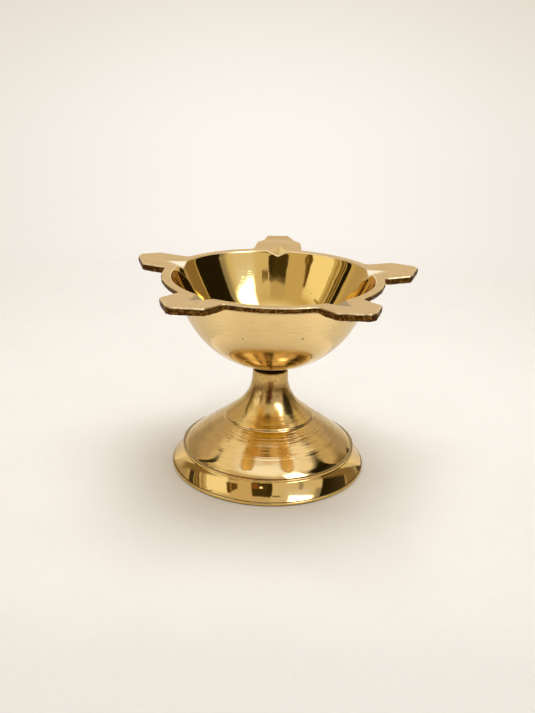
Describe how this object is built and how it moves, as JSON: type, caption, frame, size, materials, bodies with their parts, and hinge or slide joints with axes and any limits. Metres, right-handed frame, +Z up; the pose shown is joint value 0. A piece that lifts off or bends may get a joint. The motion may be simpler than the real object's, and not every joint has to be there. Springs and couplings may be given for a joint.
{
  "type": "oil lamp",
  "caption": "Brass oil lamp: a round open bowl with a flat rim of grooved wick lugs, screwed onto a flared hollow foot.",
  "frame": {"origin": "on the floor under the middle of the overall width and depth; the lamp's own axis stands at x -1.2537 mm, y -5.2737 mm, because the lugs reach out unevenly", "axes": "+Z up along the lamp's axis, +X to the right and +Y away from the viewer of the picture"},
  "size_m": [0.1036, 0.1018, 0.0742],
  "materials": {
    "foot_brass": "turned and polished brass with fine turning lines, duller and pitted on the neck",
    "stud_brass": "plain cut brass thread, slightly tarnished",
    "bowl_brass": "mirror polished brass inside and out, satin on the rim plate, dark as-cast edge"
  },
  "bodies": {
    "foot": {"foot": "foot_brass"},
    "stud": {"stud": "stud_brass"},
    "bowl": {"bowl": "bowl_brass"}
  },
  "joints": [
    {"name": "stud_rise", "type": "slide", "parent": "foot", "child": "stud", "axis": [0, 0, 1], "range_m": [0, 0.01]},
    {"name": "bowl_turn", "type": "hinge", "parent": "stud", "child": "bowl", "pos_m": [-0.00125, -0.00527, 0.0375], "axis": [0, 0, 1], "range_deg": [0, 2880]}
  ],
  "couplings": [
    {"joint": "stud_rise", "follows": "bowl_turn", "m_per_rad": 0.00019894}
  ]
}
